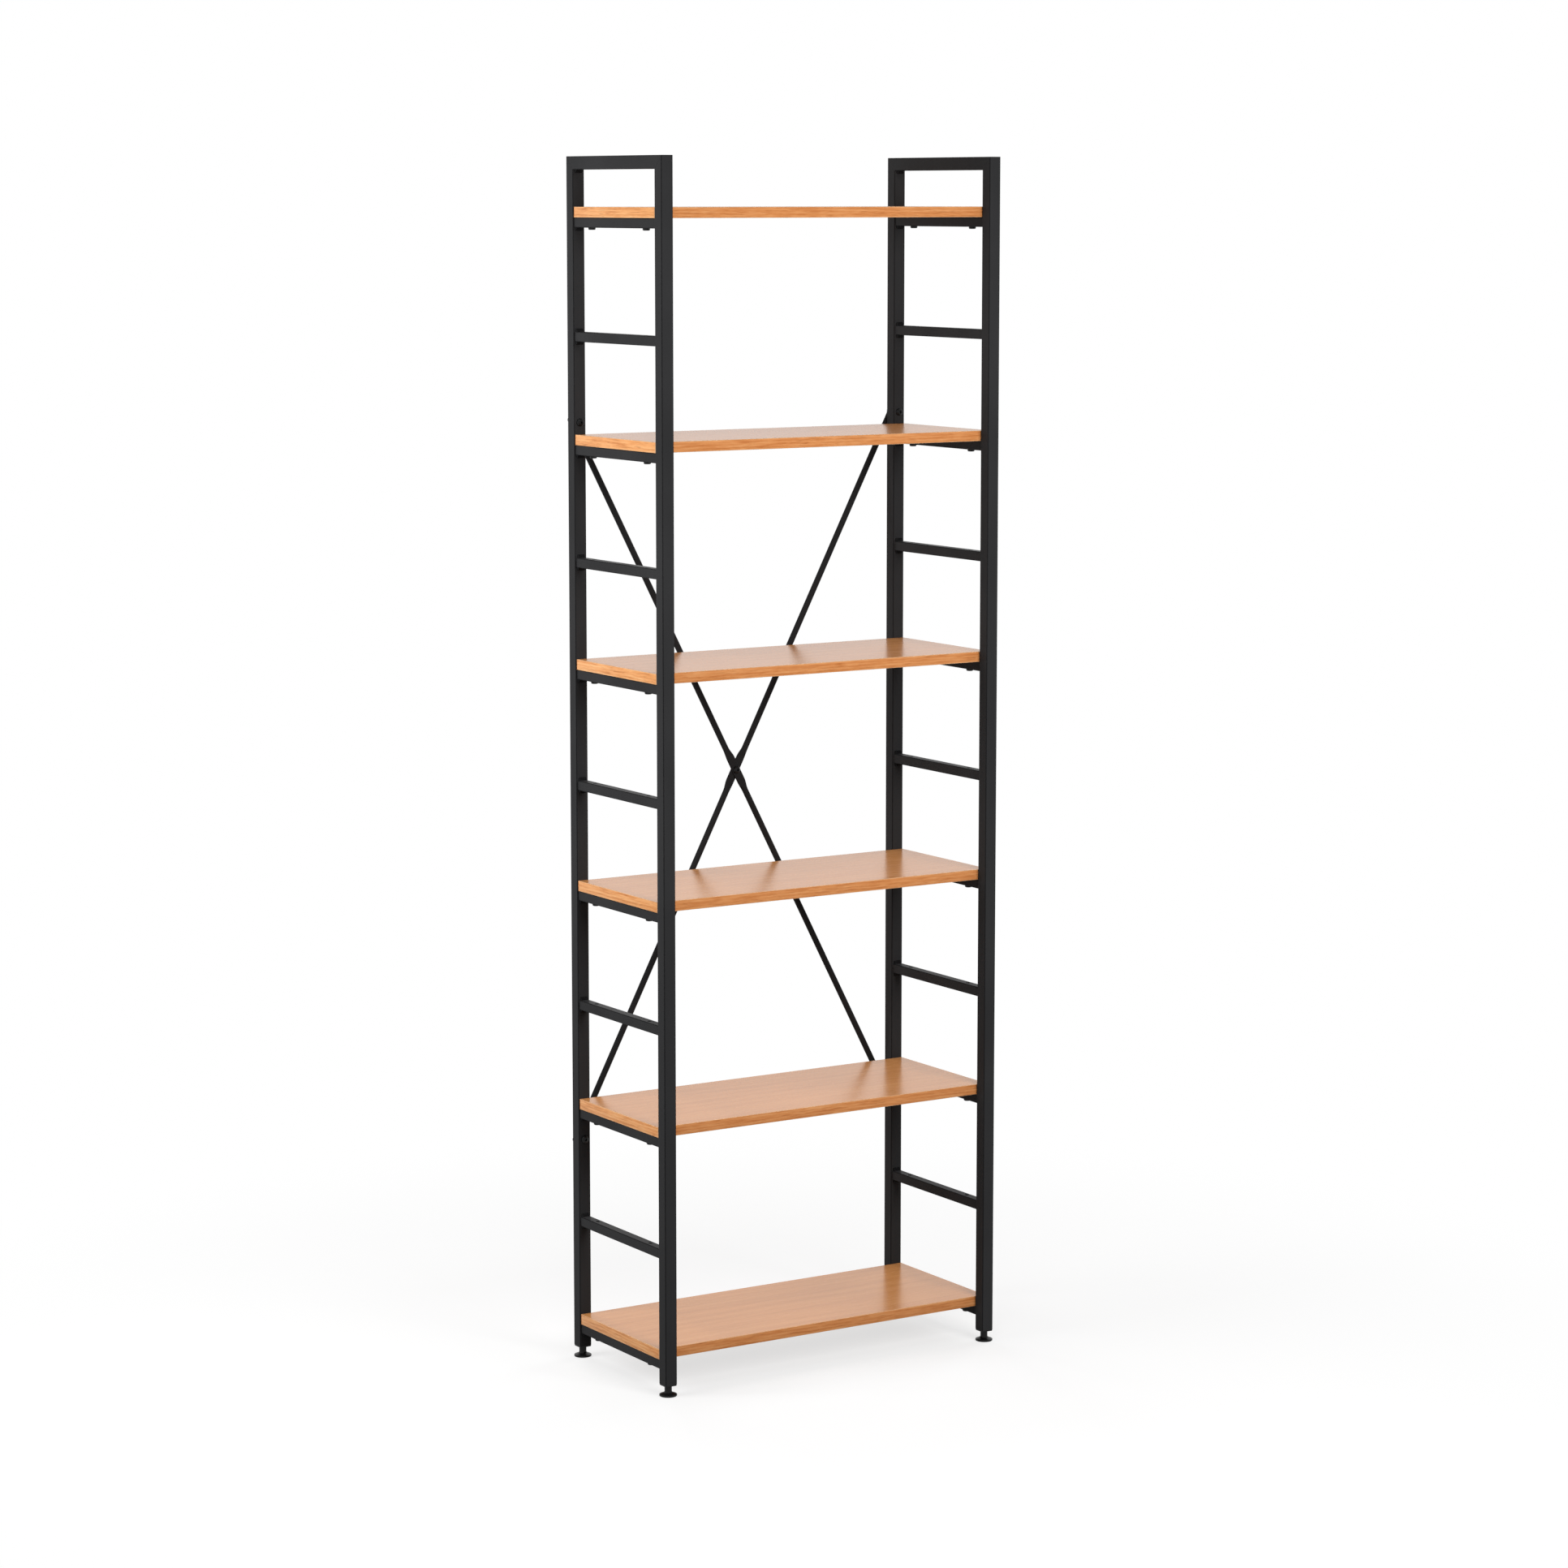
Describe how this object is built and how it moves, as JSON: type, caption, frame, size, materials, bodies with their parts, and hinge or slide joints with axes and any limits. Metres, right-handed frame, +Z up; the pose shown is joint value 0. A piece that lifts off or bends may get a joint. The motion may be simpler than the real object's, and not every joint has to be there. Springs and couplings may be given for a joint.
{
  "type": "bookcase",
  "caption": "Tall open bookcase with a black square-tube steel frame, wood-effect shelves, a crossed back brace and screw-in levelling feet.",
  "frame": {"origin": "on the floor, midway between the four posts, with the feet screwed in", "axes": "+X to the right seen from the front, +Y to the back, where the brace is, +Z up"},
  "size_m": [0.607, 0.296, 1.85],
  "materials": {
    "frame_coat": "satin black powder coat",
    "shelf_board": "semi-gloss wood-effect face and edge band",
    "black_fixing": "black coated steel",
    "zinc_fixing": "zinc plated steel",
    "foot_plastic": "satin black plastic"
  },
  "bodies": {
    "frame": {"post_left_front": "frame_coat", "post_left_rear": "frame_coat", "post_right_front": "frame_coat", "post_right_rear": "frame_coat", "top_rail_left": "frame_coat", "shelf_rail_left_1": "frame_coat", "shelf_rail_left_2": "frame_coat", "shelf_rail_left_3": "frame_coat", "shelf_rail_left_4": "frame_coat", "shelf_rail_left_5": "frame_coat", "shelf_rail_left_6": "frame_coat", "extra_rail_left_1": "frame_coat", "extra_rail_left_2": "frame_coat", "extra_rail_left_3": "frame_coat", "extra_rail_left_4": "frame_coat", "extra_rail_left_5": "frame_coat", "top_rail_right": "frame_coat", "shelf_rail_right_1": "frame_coat", "shelf_rail_right_2": "frame_coat", "shelf_rail_right_3": "frame_coat", "shelf_rail_right_4": "frame_coat", "shelf_rail_right_5": "frame_coat", "shelf_rail_right_6": "frame_coat", "extra_rail_right_1": "frame_coat", "extra_rail_right_2": "frame_coat", "extra_rail_right_3": "frame_coat", "extra_rail_right_4": "frame_coat", "extra_rail_right_5": "frame_coat", "shelf_1": "shelf_board", "shelf_screws_1": "black_fixing", "shelf_2": "shelf_board", "shelf_screws_2": "black_fixing", "shelf_3": "shelf_board", "shelf_screws_3": "black_fixing", "shelf_4": "shelf_board", "shelf_screws_4": "black_fixing", "shelf_5": "shelf_board", "shelf_screws_5": "black_fixing", "shelf_6": "shelf_board", "shelf_screws_6": "black_fixing", "brace_bar_front": "frame_coat", "brace_bar_rear": "frame_coat", "brace_end_bolts": "black_fixing", "brace_centre_bolt": "black_fixing", "brace_end_nuts": "zinc_fixing", "brace_centre_nut": "zinc_fixing", "foot_insert_left_front": "foot_plastic", "foot_insert_left_rear": "foot_plastic", "foot_insert_right_front": "foot_plastic", "foot_insert_right_rear": "foot_plastic"},
    "foot_stud_left_front": {"foot_stud_left_front": "zinc_fixing"},
    "foot_base_left_front": {"foot_base_left_front": "foot_plastic"},
    "foot_stud_left_rear": {"foot_stud_left_rear": "zinc_fixing"},
    "foot_base_left_rear": {"foot_base_left_rear": "foot_plastic"},
    "foot_stud_right_front": {"foot_stud_right_front": "zinc_fixing"},
    "foot_base_right_front": {"foot_base_right_front": "foot_plastic"},
    "foot_stud_right_rear": {"foot_stud_right_rear": "zinc_fixing"},
    "foot_base_right_rear": {"foot_base_right_rear": "foot_plastic"}
  },
  "joints": [
    {"name": "foot_left_front_travel", "type": "slide", "parent": "frame", "child": "foot_stud_left_front", "axis": [0, 0, -1], "range_m": [0, 0.0101]},
    {"name": "foot_left_front_turn", "type": "hinge", "parent": "foot_stud_left_front", "child": "foot_base_left_front", "pos_m": [-0.29, -0.13, 0.008], "axis": [0, 0, -1], "range_deg": [0, 2880]},
    {"name": "foot_left_rear_travel", "type": "slide", "parent": "frame", "child": "foot_stud_left_rear", "axis": [0, 0, -1], "range_m": [0, 0.0101]},
    {"name": "foot_left_rear_turn", "type": "hinge", "parent": "foot_stud_left_rear", "child": "foot_base_left_rear", "pos_m": [-0.29, 0.13, 0.008], "axis": [0, 0, -1], "range_deg": [0, 2880]},
    {"name": "foot_right_front_travel", "type": "slide", "parent": "frame", "child": "foot_stud_right_front", "axis": [0, 0, -1], "range_m": [0, 0.0101]},
    {"name": "foot_right_front_turn", "type": "hinge", "parent": "foot_stud_right_front", "child": "foot_base_right_front", "pos_m": [0.29, -0.13, 0.008], "axis": [0, 0, -1], "range_deg": [0, 2880]},
    {"name": "foot_right_rear_travel", "type": "slide", "parent": "frame", "child": "foot_stud_right_rear", "axis": [0, 0, -1], "range_m": [0, 0.0101]},
    {"name": "foot_right_rear_turn", "type": "hinge", "parent": "foot_stud_right_rear", "child": "foot_base_right_rear", "pos_m": [0.29, 0.13, 0.008], "axis": [0, 0, -1], "range_deg": [0, 2880]}
  ],
  "couplings": [
    {"joint": "foot_left_front_travel", "follows": "foot_left_front_turn", "m_per_rad": 0.00019894},
    {"joint": "foot_left_rear_travel", "follows": "foot_left_rear_turn", "m_per_rad": 0.00019894},
    {"joint": "foot_right_front_travel", "follows": "foot_right_front_turn", "m_per_rad": 0.00019894},
    {"joint": "foot_right_rear_travel", "follows": "foot_right_rear_turn", "m_per_rad": 0.00019894}
  ]
}
